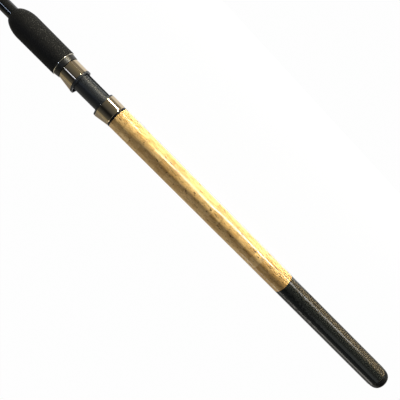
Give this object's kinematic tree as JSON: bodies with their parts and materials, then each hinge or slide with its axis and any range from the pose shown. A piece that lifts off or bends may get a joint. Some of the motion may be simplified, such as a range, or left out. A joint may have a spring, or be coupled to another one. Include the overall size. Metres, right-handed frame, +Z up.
{
  "type": "feeder rod butt section",
  "caption": "Feeder rod butt section: tapered carbon blank with ferrule and line guide, cork and black grips, and a reel seat whose hood is screwed along by turning the foregrip.",
  "frame": {"origin": "centre of the butt cap's flat end, on the blank's axis", "axes": "+X out of the butt along the blank's axis, so the tip is at -X; +Y towards the spine, the side away from the reel; -Y towards the reel, its hoods' pockets and the line guide; +Z up with the rod lying on its side"},
  "size_m": [1.181, 0.0581, 0.0288],
  "materials": {
    "lacquered_carbon": "gloss lacquer over black carbon",
    "black_foam": "matt closed-cell foam",
    "lacquered_cork": "cork under clear gloss",
    "glossy_black_grip": "black grip under clear gloss",
    "black_rubber": "satin",
    "satin_black_plastic": "satin moulded",
    "dark_chrome": "polished smoke chrome",
    "black_anodised": "satin black anodised",
    "bright_metal": "polished",
    "grey_ceramic": "polished",
    "lacquered_thread": "gloss lacquer over black thread"
  },
  "bodies": {
    "handle_and_blank": {"butt_blank": "lacquered_carbon", "ferrule_spigot": "lacquered_carbon", "ferrule_whipping": "lacquered_thread", "butt_cap": "black_rubber", "butt_grip": "glossy_black_grip", "cork_ring_01": "lacquered_cork", "cork_ring_02": "lacquered_cork", "cork_ring_03": "lacquered_cork", "cork_ring_04": "lacquered_cork", "cork_ring_05": "lacquered_cork", "cork_ring_06": "lacquered_cork", "cork_ring_07": "lacquered_cork", "cork_ring_08": "lacquered_cork", "cork_ring_09": "lacquered_cork", "cork_ring_10": "lacquered_cork", "cork_ring_11": "lacquered_cork", "cork_ring_12": "lacquered_cork", "cork_ring_13": "lacquered_cork", "cork_ring_14": "lacquered_cork", "cork_ring_15": "lacquered_cork", "cork_ring_16": "lacquered_cork", "cork_ring_17": "lacquered_cork", "cork_ring_18": "lacquered_cork", "cork_ring_19": "lacquered_cork", "cork_ring_20": "lacquered_cork", "seat_check_ring": "black_rubber", "seat_barrel": "satin_black_plastic", "rear_hood_shell": "dark_chrome", "rear_hood_liner": "satin_black_plastic", "guide_frame": "dark_chrome", "guide_ring": "grey_ceramic", "guide_whipping_rear": "lacquered_thread", "guide_whipping_front": "lacquered_thread"},
    "front_hood": {"front_hood_shell": "dark_chrome", "front_hood_liner": "satin_black_plastic"},
    "foregrip": {"lock_nut": "satin_black_plastic", "nut_collar": "black_anodised", "nut_trim_ring": "bright_metal", "foregrip_foam": "black_foam"}
  },
  "joints": [
    {"name": "hood_slide", "type": "slide", "parent": "handle_and_blank", "child": "front_hood", "axis": [-1, 0, 0], "range_m": [-0.00801, 0.01601]},
    {"name": "foregrip_turn", "type": "hinge", "parent": "front_hood", "child": "foregrip", "pos_m": [-0.4854, 0, 0], "axis": [-1, 0, 0], "range_deg": [-960, 1920]}
  ],
  "couplings": [
    {"joint": "hood_slide", "follows": "foregrip_turn", "m_per_rad": 0.00047746}
  ]
}
